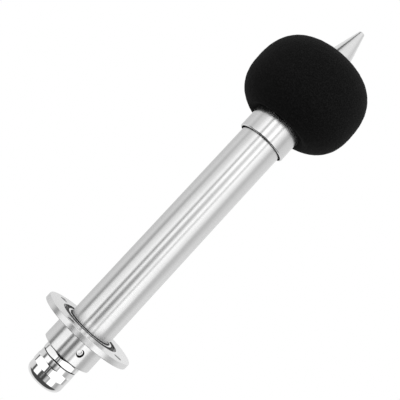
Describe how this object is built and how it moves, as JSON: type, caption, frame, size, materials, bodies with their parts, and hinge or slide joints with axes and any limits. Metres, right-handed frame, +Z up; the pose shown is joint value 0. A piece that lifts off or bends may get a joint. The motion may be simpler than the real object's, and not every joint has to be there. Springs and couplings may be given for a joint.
{
  "type": "sound level meter",
  "caption": "Outdoor sound level sensor on a stainless mast tube with a foam windscreen, bird spike, bolt-on flange and cable gland.",
  "frame": {"origin": "centre of the flange's underside, the face that rests on the bracket", "axes": "+Z up the mast towards the bird spike; -Y is the side that shows the hub's first set screw, 20 degrees towards +X"},
  "size_m": [0.0864, 0.0864, 0.3199],
  "materials": {
    "satin_steel": "satin, fine lengthwise grain",
    "nickel_plate": "polished nickel plate",
    "screw_steel": "dull, lightly oiled",
    "rubber": "matt",
    "foam": "open-cell foam, matt",
    "nylon": "matt moulded",
    "polymer": "satin turned",
    "aluminium_sheet": "satin sheet",
    "circuit_board": "green solder resist",
    "chip_plastic": "matt moulded",
    "terminal_plastic": "satin moulded",
    "capacitor_can": "satin can",
    "gold_contact": "gold plated"
  },
  "bodies": {
    "mast": {"mounting_flange": "satin_steel", "flange_o_ring": "rubber", "tube_foot_o_ring": "rubber", "main_tube": "satin_steel", "gland_gasket": "rubber", "gland_body": "nickel_plate", "gland_o_ring": "rubber"},
    "set_screw_1": {"hub_set_screw_1": "screw_steel"},
    "set_screw_2": {"hub_set_screw_2": "screw_steel"},
    "set_screw_3": {"hub_set_screw_3": "screw_steel"},
    "gland_clamp": {"gland_claw": "nylon", "gland_seal": "rubber"},
    "dome_nut": {"gland_dome_nut": "nickel_plate"},
    "microphone_unit": {"microphone_holder": "polymer", "holder_o_ring": "rubber", "holder_circlip": "screw_steel", "preamp_housing": "satin_steel", "preamp_insulator": "polymer", "preamp_contact": "gold_contact", "preamp_board": "circuit_board", "preamp_chip": "chip_plastic", "capsule_housing": "satin_steel", "capsule_insulator": "polymer", "capsule_backplate": "gold_contact", "capsule_diaphragm": "satin_steel", "protection_grid": "satin_steel", "board_carrier": "aluminium_sheet", "carrier_screw_1": "screw_steel", "carrier_screw_2": "screw_steel", "main_board": "circuit_board", "board_spacer_1": "gold_contact", "board_spacer_2": "gold_contact", "board_spacer_3": "gold_contact", "board_spacer_4": "gold_contact", "board_screw_1": "screw_steel", "board_screw_2": "screw_steel", "board_screw_3": "screw_steel", "board_screw_4": "screw_steel", "microcontroller": "chip_plastic", "codec_chip": "chip_plastic", "transceiver_chip": "chip_plastic", "power_module": "chip_plastic", "signal_socket": "polymer", "capacitor_1": "capacitor_can", "capacitor_2": "capacitor_can", "terminal_header": "terminal_plastic", "signal_lead": "rubber"},
    "cable_plug": {"terminal_plug": "terminal_plastic"},
    "collar": {"head_collar": "satin_steel", "cage_post_1": "satin_steel", "cage_post_2": "satin_steel", "cage_post_3": "satin_steel", "spike_seat": "satin_steel"},
    "windscreen": {"windscreen_ball": "foam"},
    "spike_washer": {"spike_washer": "nylon"},
    "spike": {"bird_spike": "satin_steel"}
  },
  "joints": [
    {"name": "microphone_unit_rise", "type": "slide", "parent": "mast", "child": "microphone_unit", "axis": [0, 0, 1], "range_m": [0, 0.012]},
    {"name": "collar_turn", "type": "hinge", "parent": "microphone_unit", "child": "collar", "pos_m": [0, 0, 0.19], "axis": [0, 0, 1], "range_deg": [0, 2880]},
    {"name": "windscreen_pull", "type": "slide", "parent": "collar", "child": "windscreen", "axis": [0, 0, 1], "range_m": [0, 0.105]},
    {"name": "spike_washer_rise", "type": "slide", "parent": "collar", "child": "spike_washer", "axis": [0, 0, 1], "range_m": [0, 0.007]},
    {"name": "spike_turn", "type": "hinge", "parent": "spike_washer", "child": "spike", "pos_m": [0, 0, 0.2371], "axis": [0, 0, 1], "range_deg": [0, 2520]},
    {"name": "gland_clamp_drop", "type": "slide", "parent": "mast", "child": "gland_clamp", "axis": [0, 0, -1], "range_m": [0, 0.006]},
    {"name": "dome_nut_turn", "type": "hinge", "parent": "gland_clamp", "child": "dome_nut", "pos_m": [0, 0, -0.03], "axis": [0, 0, -1], "range_deg": [0, 1440]},
    {"name": "cable_plug_pull", "type": "slide", "parent": "microphone_unit", "child": "cable_plug", "axis": [0, 0, -1], "range_m": [0, 0.009]},
    {"name": "set_screw_1_retract", "type": "slide", "parent": "mast", "child": "set_screw_1", "axis": [0.342, -0.9397, 0], "range_m": [0, 0.0045]},
    {"name": "set_screw_2_retract", "type": "slide", "parent": "mast", "child": "set_screw_2", "axis": [0.6428, 0.766, 0], "range_m": [0, 0.0045]},
    {"name": "set_screw_3_retract", "type": "slide", "parent": "mast", "child": "set_screw_3", "axis": [-0.9848, 0.1736, 0], "range_m": [0, 0.0045]}
  ],
  "couplings": [
    {"joint": "collar_turn", "follows": "microphone_unit_rise", "rad_per_m": 4188.4},
    {"joint": "spike_turn", "follows": "spike_washer_rise", "rad_per_m": 6282.6},
    {"joint": "dome_nut_turn", "follows": "gland_clamp_drop", "rad_per_m": 4188.4}
  ]
}
